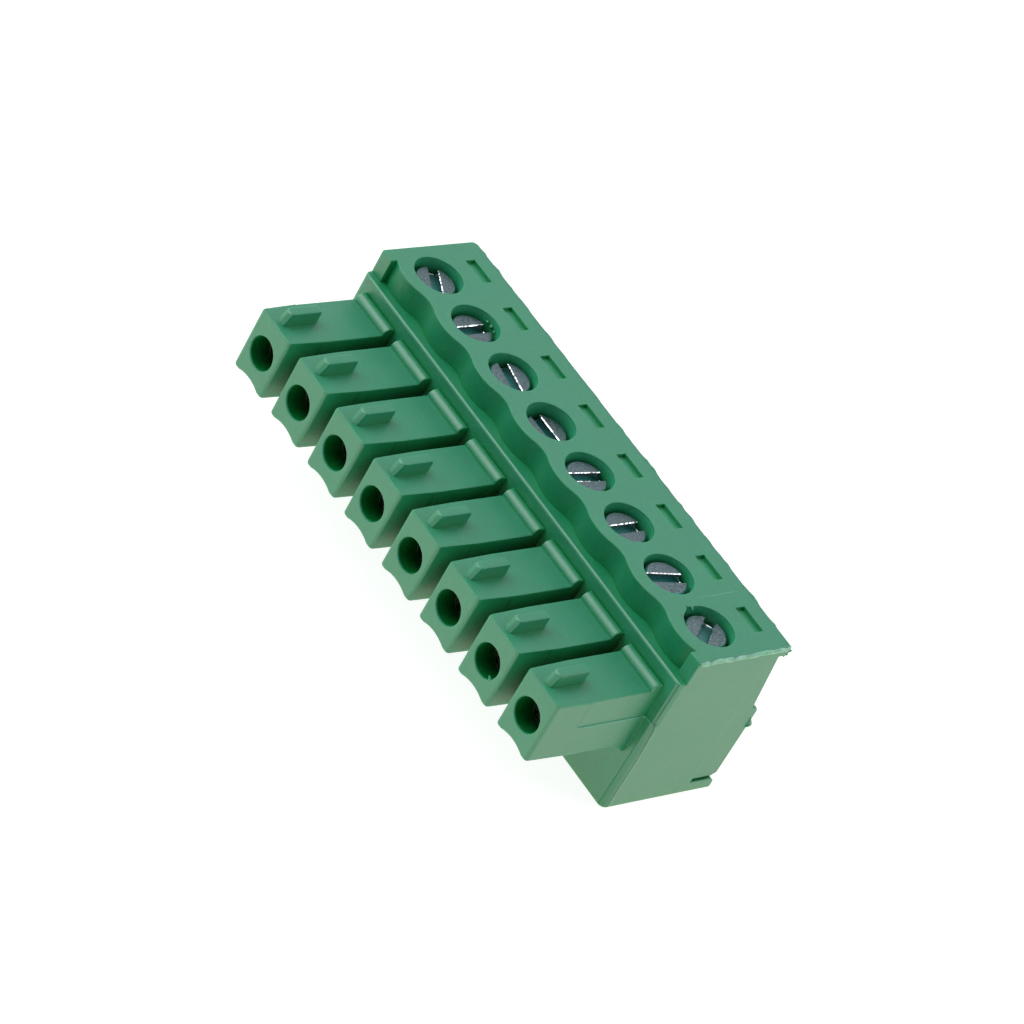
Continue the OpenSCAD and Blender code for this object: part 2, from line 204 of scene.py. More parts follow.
def round_edges(piece, radius_at, segments=2, material=0):
    """Rounds the outer sharp edges of a piece, each by what radius_at gives for its two ends."""
    shape = bmesh.new()
    shape.from_mesh(piece.data)
    radii = [
        radius_at(*(v.co for v in edge.verts))
        if edge.is_manifold and edge.is_convex and edge.calc_face_angle() > sharp_angle else 0
        for edge in shape.edges
    ]
    shape.free()
    widest = max(radii)
    weights = piece.data.attributes.new("bevel_weight_edge", "FLOAT", "EDGE")
    weights.data.foreach_set("value", [r / widest for r in radii])
    apply(piece, "BEVEL", width=widest, segments=segments, limit_method="WEIGHT", offset_type="OFFSET",
          use_clamp_overlap=False, loop_slide=False, material=material)


def select_where(piece, wanted):
    """Opens a piece in edit mode with only those vertices selected whose places are wanted."""
    edit(piece, "DESELECT")
    shape = bmesh.from_edit_mesh(piece.data)
    for vertex in shape.verts:
        vertex.select = wanted(vertex.co)
    shape.select_flush_mode()
    bmesh.update_edit_mesh(piece.data)


def push(piece, centre, reach, by):
    """Pushes the vertices near a place, as a knock does to an edge."""
    select_where(piece, lambda place: (place - centre).length < reach)
    bpy.ops.transform.translate(value=by)
    close()


def place_new(name, *materials):
    """Names the primitive just added, gives it materials, and puts its place and turn into its mesh."""
    piece = bpy.context.object
    piece.name = name
    for material in materials:
        piece.data.materials.append(material)
    bpy.ops.object.transform_apply(location=True, rotation=True, scale=True)
    return piece


def bead(name, points, radii, material, sides=8):
    """A thin round bead through these points, as thick at each of them as radii says."""
    heading = points[1] - points[0]
    bpy.ops.object.select_all(action="DESELECT")
    turn = heading.to_track_quat("Z", "Y").to_euler()
    bpy.ops.mesh.primitive_circle_add(vertices=sides, radius=radii[0], fill_type="NGON",
                                      location=points[0], rotation=turn)
    piece = place_new(name, material)
    edit(piece)
    for before, after, thin, thick in zip(points, points[1:], radii, radii[1:]):
        bpy.ops.mesh.extrude_region_move(TRANSFORM_OT_translate={"value": after - before})
        ratio = thick / thin
        bpy.ops.transform.resize(value=(ratio, ratio, ratio), center_override=after)
    bpy.ops.mesh.select_all(action="SELECT")
    bpy.ops.mesh.normals_make_consistent(inside=False)
    close()
    return piece


def crumb(name, centre, size, material):
    """A torn crumb of plastic."""
    bpy.ops.object.select_all(action="DESELECT")
    bpy.ops.mesh.primitive_ico_sphere_add(subdivisions=2, radius=size, location=centre)
    piece = place_new(name, material)
    edit(piece)
    bpy.ops.transform.vertex_random(offset=size * 0.3, seed=len(bpy.data.objects))
    close()
    return piece


def wavy(start, end, steps, sway, radius, change):
    """Points from start to end that sway a little, and at each a radius that changes a little."""
    sways_per_mm = 1.7
    changes_per_mm = 2.3
    points = [start.lerp(end, step / steps) for step in range(steps + 1)]
    radii = [radius + change * noise.noise(point * changes_per_mm) for point in points]
    return [point + sway * noise.noise(point * sways_per_mm) for point in points], radii


def join(piece, *others):
    """Makes other pieces part of this one."""
    only(piece, *others)
    bpy.ops.object.join()


def finish_piece(piece, body, slot, *nodes):
    """Gives a finished piece its size in metres and its body, and hides the nodes it stands for; its slot
    is not used.
    """
    only(piece)
    bpy.ops.object.shade_smooth_by_angle(angle=sharp_angle)
    apply(piece, "WEIGHTED_NORMAL", weight=100, keep_sharp=True)
    piece.data.transform(Matrix.Scale(MM, 4))
    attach(piece, body)
    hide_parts(*nodes)


# Tools for materials

def colour(hex_code):
    """An sRGB hex colour as linear values."""
    shares = [int(hex_code[k:k + 2], 16) / 255 for k in (1, 3, 5)]
    return tuple(s / 12.92 if s <= 0.04045 else ((s + 0.055) / 1.055) ** 2.4 for s in shares) + (1.0,)


def add(tree, kind, inputs=(), **settings):
    """Adds a node; an input takes a value, or the output of another node."""
    node = tree.nodes.new(kind)
    for name, value in settings.items():
        setattr(node, name, value)
    for name, value in dict(inputs).items():
        if isinstance(value, bpy.types.NodeSocket):
            tree.links.new(value, node.inputs[name])
        else:
            node.inputs[name].default_value = value
    return node


def blend(tree, value, first, second, start=0.0, end=1.0):
    """A colour that goes from the first to the second as a value goes from start to end."""
    share = add(tree, "ShaderNodeMapRange", {"Value": value, "From Min": start, "From Max": end})
    both = add(tree, "ShaderNodeMix", {"Factor": share.outputs[0], "A": first, "B": second},
               data_type="RGBA")
    return both.outputs["Result"]


def new_material(name):
    """A material with no nodes yet, and its tree."""
    material = bpy.data.materials.new(name)
    material.use_nodes = True
    material.node_tree.nodes.clear()
    return material, material.node_tree


# Where the photograph was taken from, in millimetres and degrees, and its focal length and width in pixels
camera_at = Vector((116.006, -160.877, 146.040))
azimuth = math.radians(35.622)
elevation = math.radians(35.076)
roll = math.radians(30.590)
focal_px = 4575.75
photo_px = 1024

# The table's width in metres, and how bright sky and table are: as lights, to the camera, in reflections
table_w = 4
sky_level = 0.25
sky_seen = 1.0
sky_shine = 1.02
table_level = 0.95
table_seen = 0.9
table_shine = 1.32


def make_camera():
    """The camera, as it stood for the photograph."""
    camera = bpy.data.objects.new("camera", bpy.data.cameras.new("camera"))
    bpy.context.scene.collection.objects.link(camera)
    camera.data.sensor_width = 36
    camera.data.lens = focal_px / photo_px * camera.data.sensor_width
    camera.data.clip_start = 0.01
    back = Vector((
        math.sin(azimuth) * math.cos(elevation),
        -math.cos(azimuth) * math.cos(elevation),
        math.sin(elevation),
    ))
    turn = (-back).to_track_quat("-Z", "Y").to_matrix().to_4x4() @ Matrix.Rotation(roll, 4, "Z")
    camera.matrix_world = Matrix.Translation(camera_at * MM) @ turn
    bpy.context.scene.camera = camera


def by_ray(tree, level, for_camera, for_shine):
    """A strength that has one level for light and others for what the camera and reflections see."""
    ray = add(tree, "ShaderNodeLightPath").outputs
    shine = add(tree, "ShaderNodeMath", {0: ray["Is Glossy Ray"], 1: ray["Is Transmission Ray"]},
                operation="MAXIMUM")
    seen = add(tree, "ShaderNodeMath", {0: ray["Is Camera Ray"], 1: for_camera - level, 2: level},
               operation="MULTIPLY_ADD")
    both = add(tree, "ShaderNodeMath", {0: shine.outputs[0], 1: for_shine - level, 2: seen.outputs[0]},
               operation="MULTIPLY_ADD")
    return both.outputs[0]


def soft_lamp(name, place, size, watts):
    """A square soft lamp that looks at the block."""
    lamp = bpy.data.objects.new(name, bpy.data.lights.new(name, "AREA"))
    bpy.context.scene.collection.objects.link(lamp)
    lamp.data.size = size
    lamp.data.energy = watts
    lamp.location = place
    lamp.rotation_mode = "QUATERNION"
    lamp.rotation_quaternion = (-lamp.location).to_track_quat("-Z", "Y")


def make_studio():
    """A white table under a pale even sky, a broad lamp at the front left and a smaller one behind."""
    world = bpy.data.worlds.new("studio")
    bpy.context.scene.world = world
    world.use_nodes = True
    tree = world.node_tree
    tree.nodes.clear()
    level = by_ray(tree, sky_level, sky_seen, sky_shine)
    light = add(tree, "ShaderNodeBackground", {"Color": colour("#f8faff"), "Strength": level})
    add(tree, "ShaderNodeOutputWorld", {"Surface": light.outputs[0]})

    material, tree = new_material("white_paper_table")
    level = by_ray(tree, table_level, table_seen, table_shine)
    path = add(tree, "ShaderNodeLightPath")
    tint = blend(tree, path.outputs["Is Camera Ray"], colour("#fff5e8"), colour("#ffffff"))
    glow = add(tree, "ShaderNodeEmission", {"Color": tint, "Strength": level})
    paper = add(tree, "ShaderNodeBsdfDiffuse", {"Color": colour("#9a9896")})
    both = add(tree, "ShaderNodeAddShader", {0: paper.outputs[0], 1: glow.outputs[0]})
    add(tree, "ShaderNodeOutputMaterial", {"Surface": both.outputs[0]})

    bpy.ops.mesh.primitive_plane_add(size=table_w, location=(0, 0, cad_box[0].z))
    table = bpy.context.object
    table.name = "table"
    table.data.materials.append(material)

    soft_lamp("broad_lamp", place=(-0.33, -0.18, 0.39), size=0.5, watts=2.3)
    soft_lamp("rear_lamp", place=(0.21, 0.33, 0.31), size=0.22, watts=0.6)


# Materials. Patterns are drawn in millimetres, on the piece's own coordinates

def in_millimetres(tree, stretch=(1, 1, 1)):
    """The place on the piece in millimetres, stretched for a pattern."""
    place = add(tree, "ShaderNodeTexCoord")
    scale = tuple(s / MM for s in stretch)
    return add(tree, "ShaderNodeMapping", {"Vector": place.outputs["Object"], "Scale": scale}).outputs[0]


def summed(tree, *heights):
    """The sum of some heights, each given with what it is multiplied by."""
    total = 0.0
    for height, share in heights:
        total = add(tree, "ShaderNodeMath", {0: height, 1: share, 2: total},
                    operation="MULTIPLY_ADD").outputs[0]
    return total


def only_where(tree, level, *limits):
    """A level that fades in as the value of each limit goes from the limit's start to its end."""
    for value, start, end in limits:
        inside = add(tree, "ShaderNodeMapRange", {"Value": value, "From Min": start, "From Max": end})
        level = add(tree, "ShaderNodeMath", {0: level, 1: inside.outputs[0]},
                    operation="MULTIPLY").outputs[0]
    return level


def line_at(tree, value, at, width):
    """1 where a value is at, falling to 0 at width on either side."""
    off = add(tree, "ShaderNodeMath", {0: value, 1: at}, operation="SUBTRACT")
    away = add(tree, "ShaderNodeMath", {0: off.outputs[0]}, operation="ABSOLUTE")
    return only_where(tree, 1.0, (away.outputs[0], width, 0.0))


def how_level(tree):
    """1 on a level face, 0 on an upright one."""
    face = add(tree, "ShaderNodeNewGeometry")
    turned = add(tree, "ShaderNodeSeparateXYZ", {0: face.outputs["Normal"]})
    return add(tree, "ShaderNodeMath", {0: turned.outputs["Z"]}, operation="ABSOLUTE").outputs[0]


def parting_line(tree, y, z):
    """How far a point lies behind the parting line of the near end face, which bends on its way down."""
    line_y = front_y + 0.125
    kink_top, kink_foot, slant_foot = 6.35, 6.0, 3.8
    kink = only_where(tree, 0.1, (z, kink_top, kink_foot))
    slant = only_where(tree, 0.15, (z, kink_foot, slant_foot))
    return summed(tree, (y, 1.0), (kink, -1.0), (slant, -1.0), (1.0, -line_y))


def knit_line(tree, x, y, z, wander):
    """The faint line on the top face between the last two wells, where two streams of plastic met."""
    knit_x = screw_at[poles].x - pitch / 2 + 0.12
    knit_y = screw_y + 2.1
    off_line = summed(tree, (x, 1.0), (wander, 0.3), (1.0, -knit_x))
    off_middle = add(tree, "ShaderNodeMath", {0: y, 1: knit_y}, operation="SUBTRACT")
    off_middle = add(tree, "ShaderNodeMath", {0: off_middle.outputs[0]}, operation="ABSOLUTE")
    return only_where(tree, line_at(tree, off_line, 0.0, 0.05), (off_middle.outputs[0], 1.5, 1.1),
                      (z, top_z - 0.1, top_z - 0.05))


def moulded_polyamide(name, gloss, dark, light, hollow_shade_green):
    """Green polyamide as the mould leaves it: finely grained, a little wavy, with painted shade that
    deepens the green in corners.
    """
    deep_shade_green, rubbed_and_highlight_green, shadow_green = colour("#013305"), colour("#6fbfa8"), colour("#03321c")
    material, tree = new_material(name)
    place = in_millimetres(tree)
    x, y, z = add(tree, "ShaderNodeSeparateXYZ", {0: place}).outputs

    # The grain of the spark-eroded mould is about 0.15 mm, and the faces are wavy over some 3 mm
    grain = add(tree, "ShaderNodeTexNoise", {"Vector": place, "Scale": 6.5, "Detail": 3.0}).outputs[0]
    waves = add(tree, "ShaderNodeTexNoise", {"Vector": place, "Scale": 0.33, "Detail": 2.0}).outputs[0]
    # Where the moulding slid out of the mould, fine upright lines run down its walls
    drawn = add(tree, "ShaderNodeTexNoise", {
        "Vector": in_millimetres(tree, stretch=(1, 1, 0.02)), "Scale": 7.0, "Detail": 2.0})
    lines = only_where(tree, drawn.outputs[0], (how_level(tree), 0.7, 0.3))
    # Faint curling rubs, a tenth of a millimetre wide
    curls = add(tree, "ShaderNodeTexNoise", {
        "Vector": place, "Scale": 0.55, "Detail": 1.5, "Distortion": 1.2})
    rubs = line_at(tree, curls.outputs[0], 0.5, 0.012)
    # The way the plastic flowed shows as faint clouds, some 2 mm wide
    flow = add(tree, "ShaderNodeTexNoise", {
        "Vector": place, "Scale": 0.45, "Detail": 4.0, "Distortion": 0.8}).outputs[0]

    # The few lines that this moulding has of its own, with a painted shadow and a painted highlight along
    # the parting step
    near_end = (x, side_x - 0.2, side_x - 0.1)
    behind_parting = parting_line(tree, y, z)
    parting_step = only_where(tree, 1.0, (behind_parting, -0.02, 0.04), near_end)
    parting_shadow = only_where(tree, line_at(tree, behind_parting, 0.0, 0.06), near_end)
    parting_highlight = only_where(tree, line_at(tree, behind_parting, 0.12, 0.07), near_end)
    knit = knit_line(tree, x, y, z, flow)
    # A pit beside the last well: a dent in the bump, and painted shadow in its colour
    pit_at = (screw_at[poles].x - 0.95, screw_y - 1.26, top_z)
    to_pit = add(tree, "ShaderNodeVectorMath", {0: place, 1: pit_at}, operation="DISTANCE")
    pit = only_where(tree, 1.0, (to_pit.outputs["Value"], 0.08, 0.03))

    # Where the face of the mould's insert ends, below and towards the finger's tip: a painted highlight
    # along its lower edge and a painted shadow along its end
    insert_edge_highlight = only_where(tree, line_at(tree, z, insert_z, 0.06),
                             (y, insert_y - 0.05, insert_y), (y, front_y + 0.2, front_y + 0.1))
    insert_end_shadow = only_where(tree, line_at(tree, y, insert_y, 0.09),
                            (z, insert_z - 0.05, insert_z), (z, finger_top - 0.1, finger_top - 0.2))

    height = summed(tree, (grain, 0.006), (waves, 0.05), (lines, 0.008), (rubs, 0.003),
                    (parting_step, 0.05), (knit, 0.012), (pit, -0.05))
    bump = add(tree, "ShaderNodeBump", {"Height": height, "Distance": MM})

    cloudy = summed(tree, (flow, 0.6), (only_where(tree, 0.4, (grain, 0.35, 0.65)), 1.0))
    open_green = blend(tree, cloudy, colour(dark), colour(light))
    # Painted shade: by how closed in a place is, hollows are painted a purer green, and deep ones nearly
    # black
    occlusion_shade = add(tree, "ShaderNodeAmbientOcclusion", {"Distance": 1.2 * MM}, samples=6).outputs["AO"]
    green = blend(tree, occlusion_shade, colour(hollow_shade_green), open_green, start=0.3, end=0.85)
    deep_occlusion = add(tree, "ShaderNodeAmbientOcclusion", {"Distance": 3 * MM}, samples=6).outputs["AO"]
    green = blend(tree, deep_occlusion, deep_shade_green, green, start=0.08, end=0.3)
    # Stretched and rubbed plastic is paler; painted highlights lighten the parting step and the insert's
    # lower edge, and the steps and the pit hold painted shadow
    pale_and_highlight_lines = summed(tree, (knit, 0.3), (rubs, 0.06), (parting_highlight, 0.25), (insert_edge_highlight, 0.8))
    green = blend(tree, pale_and_highlight_lines, green, rubbed_and_highlight_green)
    painted_shadow_lines = summed(tree, (parting_shadow, 0.65), (insert_end_shadow, 0.6), (pit, 0.9))
    green = blend(tree, painted_shadow_lines, green, shadow_green)
    satin = summed(tree, (grain, 0.12), (flow, 0.1), (rubs, 0.06), (1.0, 0.32))
    shader = add(tree, "ShaderNodeBsdfPrincipled", {
        "Base Color": green, "Roughness": satin, "IOR": 1.53, "Specular IOR Level": gloss,
        "Subsurface Weight": 0.45, "Subsurface Radius": (0.12, 0.6, 0.2), "Subsurface Scale": 0.8 * MM,
        "Normal": bump.outputs[0]})
    add(tree, "ShaderNodeOutputMaterial", {"Surface": shader.outputs[0]})
    return material


def thin_polyamide():
    """The same plastic as a thin flash, stressed and so thin that light passes; its paler colour is partly
    stress whitening and partly a painted highlight.
    """
    material, tree = new_material("thin_lit_polyamide_flash")
    place = in_millimetres(tree)
    cloudy = add(tree, "ShaderNodeTexNoise", {"Vector": place, "Scale": 1.6, "Detail": 3.0}).outputs[0]
    pale_lit = blend(tree, cloudy, colour("#5fb58a"), colour("#a5dcc0"), start=0.35, end=0.65)
    dull = summed(tree, (cloudy, 0.3), (1.0, 0.35))
    bump = add(tree, "ShaderNodeBump", {"Height": summed(tree, (cloudy, 0.03)), "Distance": MM})
    shader = add(tree, "ShaderNodeBsdfPrincipled", {
        "Base Color": pale_lit, "Roughness": dull, "IOR": 1.53,
        "Subsurface Weight": 0.4, "Subsurface Radius": (0.4, 0.8, 0.5), "Subsurface Scale": 0.4 * MM,
        "Normal": bump.outputs[0]})
    add(tree, "ShaderNodeOutputMaterial", {"Surface": shader.outputs[0]})
    return material


def zinc_plate():
    """Zinc-plated steel, turned and slotted: dull mirror grey with fine specks, and in its slot a painted
    green reflection and painted shade.
    """
    material, tree = new_material("zinc_plated_steel")
    place = in_millimetres(tree)
    # The plating's specks are about 0.09 mm wide, and its stains some 0.8 mm
    specks = add(tree, "ShaderNodeTexNoise", {"Vector": place, "Scale": 11.0, "Detail": 4.0}).outputs[0]
    stain = add(tree, "ShaderNodeTexNoise", {"Vector": place, "Scale": 1.3, "Detail": 2.0}).outputs[0]
    # The turning tool leaves rings round each screw's axis, drawn wider apart than they are, to show
    ring_spacing = 0.14
    x, y, _ = add(tree, "ShaderNodeSeparateXYZ", {0: place}).outputs
    over_first = add(tree, "ShaderNodeMath", {
        0: x, 1: screw_at[1].x + pitch / 2, 2: screw_at[1].x - pitch / 2}, operation="WRAP")
    off_x = add(tree, "ShaderNodeMath", {0: over_first.outputs[0], 1: screw_at[1].x},
                operation="SUBTRACT")
    off_y = add(tree, "ShaderNodeMath", {0: y, 1: screw_y}, operation="SUBTRACT")
    across = add(tree, "ShaderNodeCombineXYZ", {"X": off_x.outputs[0], "Y": off_y.outputs[0]})
    radius = add(tree, "ShaderNodeVectorMath", {0: across.outputs[0]}, operation="LENGTH")
    turned = summed(tree, (radius.outputs["Value"], math.tau / ring_spacing))
    rings = add(tree, "ShaderNodeMath", {0: turned}, operation="SINE").outputs[0]

    grey = blend(tree, specks, colour("#43565a"), colour("#78878a"), start=0.3, end=0.7)
    # In the slot and other hollows the grey is painted a green teal: a painted reflection of the green
    # walls, with painted shade
    occlusion_shade = add(tree, "ShaderNodeAmbientOcclusion", {"Distance": 0.6 * MM}, samples=6).outputs["AO"]
    grey = blend(tree, occlusion_shade, colour("#418d86"), grey, start=0.45, end=0.85)
    dull = summed(tree, (specks, 0.25), (stain, 0.15), (1.0, 0.2))
    height = summed(tree, (specks, 0.006), (rings, 0.0006))
    bump = add(tree, "ShaderNodeBump", {"Height": height, "Distance": MM})
    shader = add(tree, "ShaderNodeBsdfPrincipled", {
        "Base Color": grey, "Roughness": dull, "Metallic": 1.0, "Normal": bump.outputs[0]})
    add(tree, "ShaderNodeOutputMaterial", {"Surface": shader.outputs[0]})
    return material


def burnished_zinc():
    """Zinc rubbed bright on the slot's edges and on the burrs that the saw left: a white glint."""
    material, tree = new_material("burnished_zinc")
    place = in_millimetres(tree)
    scuffs = add(tree, "ShaderNodeTexNoise", {"Vector": place, "Scale": 5.0, "Detail": 3.0}).outputs[0]
    bright = blend(tree, scuffs, colour("#596164"), colour("#fbfcff"), start=0.4, end=0.55)
    dull = summed(tree, (scuffs, 0.2), (1.0, 0.08))
    bump = add(tree, "ShaderNodeBump", {"Height": summed(tree, (scuffs, 0.03)), "Distance": MM})
    shader = add(tree, "ShaderNodeBsdfPrincipled", {
        "Base Color": bright, "Roughness": dull, "Metallic": 1.0, "Normal": bump.outputs[0]})
    add(tree, "ShaderNodeOutputMaterial", {"Surface": shader.outputs[0]})
    return material


def rolled_strip(name, light, dark, smoothest):
    """Plated strip, as rolled and stamped: bright metal with fine streaks along its length."""
    material, tree = new_material(name)
    place = in_millimetres(tree, stretch=(1, 0.06, 1))
    streaks = add(tree, "ShaderNodeTexNoise", {"Vector": place, "Scale": 14.0, "Detail": 3.0}).outputs[0]
    metal = blend(tree, streaks, colour(dark), colour(light))
    dull = summed(tree, (streaks, 0.2), (1.0, smoothest))
    bump = add(tree, "ShaderNodeBump", {"Height": summed(tree, (streaks, 0.004)), "Distance": MM})
    shader = add(tree, "ShaderNodeBsdfPrincipled", {
        "Base Color": metal, "Roughness": dull, "Metallic": 1.0, "Normal": bump.outputs[0]})
    add(tree, "ShaderNodeOutputMaterial", {"Surface": shader.outputs[0]})
    return material


# The housing

def housing_radius(a, b):
    """How far the mould rounds an outer edge of the housing, from where the edge lies."""
    middle = (a + b) / 2
    if abs(middle.z - insert_z) < 0.03 or abs(middle.y - insert_y) < 0.03:
        return insert_edge_r
    if middle.y < tip_y + 3 and middle.z > finger_top + 0.1:
        on_nose = middle.y < tip_y + 1 and abs(a.z - b.z) > 0.3
        return rib_nose_r if on_nose else rib_edge_r
    # The insert bites into the wall beside each ridge's end, and leaves edges too short to round
    if finger_top + 0.1 < middle.z < finger_top + 0.6 and abs(middle.y - front_y) < 0.16:
        return 0.0
    if middle.y < front_y - 0.05:
        return finger_edge_r
    to_screw = min(math.hypot(middle.x - at.x, middle.y - at.y) for at in screw_at.values())
    if to_screw < well_r + 0.05:
        return well_rim_r
    to_mark = min(abs(middle.x - at.x) for at in screw_at.values())
    if middle.z > top_z - 0.3 and to_mark < 1 and abs(middle.y - mark_y) < 0.6:
        return mark_rim_r
    return edge_r


def flash(green, pale_lit):
    """Thin wavy flash where the mould's halves met: along the near end's top edge and the rear top edge."""
    corner = Vector((side_x - 0.1, top_rear_y - 0.1, top_z - 0.07))
    end_ys = (end_rib_y + 0.1, top_rear_y - top_corner_r)
    rear_xs = (side_x - top_corner_r, top_corner_r - side_x)
    end_line = [Vector((side_x - 0.03, y, top_z - 0.1)) for y in end_ys]
    rear_line = [Vector((x, top_rear_y - 0.05, top_z - 0.06)) for x in rear_xs]
    end_points, end_radii = wavy(*end_line, 26, Vector((0.03, 0, 0.08)), 0.12, 0.05)
    rear_points, rear_radii = wavy(*rear_line, 90, Vector((0, 0.06, 0.05)), 0.065, 0.04)
    return [
        bead("end_flash", end_points + [corner], end_radii + [0.1], pale_lit, sides=12),
        bead("rear_flash", [corner] + rear_points, [0.1] + rear_radii, green),
    ]


def scars(green):
    """Marks of this one moulding: the torn gate, a burr behind, teeth at two rims, crumbs and a curl."""
    second_well = screw_at[2] * Vector((1, 1, 0))
    last_well = screw_at[poles] * Vector((1, 1, 0))
    gate = [Vector((side_x - x, top_rear_y + y, top_z - z)) for x, y, z in (
        (0.25, -0.45, 0.5), (0.2, -0.15, 0.42), (0.15, 0.12, 0.36), (0.12, 0.27, 0.41))]
    rear_burr = [Vector((side_x - 0.12, rear_y + y, z)) for y, z in (
        (-0.16, 5.3), (-0.02, 4.98), (0.04, 4.83), (-0.04, 4.7), (-0.18, 4.62))]
    tooth = [last_well + Vector(by) for by in (
        (-1.5, -0.12, top_z - 0.06), (-1.38, -0.16, top_z - 0.07), (-1.27, -0.2, top_z - 0.09))]
    hole_tooth = [Vector((screw_at[poles - 1].x + x, tip_y + 0.07, socket_z + z)) for x, z in (
        (0.74, -0.66), (0.64, -0.57), (0.55, -0.5))]
    curl = [Vector((screw_at[6].x + x, y, ledge_z + z)) for x, y, z in (
        (1.79, 1.22, 0.02), (1.98, 1.3, 0.03), (2.12, 1.18, 0.05), (2.2, 0.98, 0.05), (2.36, 0.86, 0.03),
        (2.5, 0.6, 0.02), (2.58, 0.5, 0.01))]
    pieces = [
        bead("gate_point", gate, [0.16, 0.17, 0.1, 0.025], green),
        bead("rear_burr", rear_burr, [0.05, 0.13, 0.16, 0.12, 0.04], green),
        bead("well_tooth", tooth, [0.1, 0.07, 0.02], green),
        bead("hole_tooth", hole_tooth, [0.1, 0.07, 0.02], green),
        bead("curl", curl, [0.02, 0.03, 0.035, 0.03, 0.035, 0.03, 0.015], green, sides=6),
    ]
    crumbs = (
        (Vector((side_x - 0.14, top_rear_y, top_z - 0.62)), 0.09),
        (Vector((side_x - 0.1, top_rear_y - 0.2, top_z - 0.66)), 0.07),
        (second_well + Vector((-0.4, 1.34, top_z - 0.42)), 0.09),
        (second_well + Vector((-0.03, 1.38, top_z - 0.46)), 0.11),
        (second_well + Vector((0.34, 1.33, top_z - 0.52)), 0.08),
    )
    return pieces + [crumb("crumb", centre, size, green) for centre, size in crumbs]


def is_matt_and_shaded(face):
    """Whether a face is the wall of a pin hole."""
    x, y, z = face.center
    off = min(math.hypot(x - at.x, z - socket_z) for at in screw_at.values())
    return off < pin_hole_r and y < front_y and abs(face.normal.y) < 0.1


def is_polished_and_lit(face):
    """Whether a face is the wall of a screw's well."""
    x, y, z = face.center
    off = min(math.hypot(x - at.x, y - at.y) for at in screw_at.values())
    return off < well_r + 0.05 and z > top_z - 2.5 and abs(face.normal.z) < 0.1


def is_dull_and_shaded(face):
    """Whether a face is of the scalloped wall, or rounds the inner corner beside a finger."""
    x, y, z = face.center
    between_ribs = abs(x) < side_x - end_rib_w - 0.1 and z > ledge_z
    scalloped = between_ribs and front_y + 0.3 < y < front_y + 1.3 and face.normal.y < -0.3
    by_front = abs(y - front_y) < 0.2 and abs(x) < side_x - 0.3
    in_corner = by_front and min(abs(face.normal.x), abs(face.normal.y)) > 0.1
    return abs(face.normal.z) < 0.1 and (scalloped or in_corner)


def make_housing(green, matt_shaded_green, polished_lit_green, dull_shaded_green, pale_lit):
    """The green moulding, each face in the finish of its part of the mould, with its flash and scars; the
    pin holes, the scalloped wall and the corners beside the fingers carry painted shade, and the wells
    painted light.
    """
    housing = merged_copy("housing", "moulded_housing", green, matt_shaded_green, polished_lit_green, dull_shaded_green)
    cut_between_poles(housing)
    # The pin holes and the dull faces get darker copies with painted shade, and the wells a lighter copy
    # with painted light
    matt, polished, dull = 1, 2, 3
    for face in housing.data.polygons:
        if is_matt_and_shaded(face):
            face.material_index = matt
        elif is_polished_and_lit(face):
            face.material_index = polished
        elif is_dull_and_shaded(face):
            face.material_index = dull
    round_edges(housing, housing_radius)
    # A chip in the rim of the last well, beside its tooth
    chip = Vector((screw_at[poles].x - 1.4, screw_y - 0.42, top_z))
    push(housing, chip, reach=0.2, by=Vector((-0.14, -0.06, 0)))
    join(housing, *flash(green, pale_lit), *scars(green))
    finish_piece(housing, "block", "moulding", "housing")


# The metal parts

def make_thread(zinc):
    """One screw's thread round the upright through 0, hanging down from 0: a three-sided ridge, wound."""
    # A three-sided circle is 1.5 radii deep, so the ridge's base lies a little inside the core
    ridge = (thread_r - core_r) / 1.4
    low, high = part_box("screw_1")
    turns = int(((high.z - low.z) / MM - head_h - thread_run_out) / thread_pitch)
    bpy.ops.object.select_all(action="DESELECT")
    bpy.ops.mesh.primitive_circle_add(
        vertices=3, radius=ridge, fill_type="NOTHING", location=(thread_r - ridge, 0, 0),
        rotation=(math.pi / 2, math.pi / 2, 0))
    thread = place_new("thread", zinc)
    apply(thread, "SCREW", angle=math.tau, screw_offset=-thread_pitch, iterations=turns, steps=16,
          render_steps=16, use_merge_vertices=False)
    edit(thread)
    bpy.ops.mesh.remove_doubles(threshold=weld_gap)
    bpy.ops.mesh.fill_holes(sides=3)
    bpy.ops.mesh.select_all(action="SELECT")
    bpy.ops.mesh.normals_make_consistent(inside=False)
    close()
    return thread


def copy_moved(piece, name, by):
    """A copy of a piece with its own mesh, moved."""
    copy = bpy.data.objects.new(name, piece.data.copy())
    bpy.context.scene.collection.objects.link(copy)
    copy.data.transform(Matrix.Translation(by))
    return copy


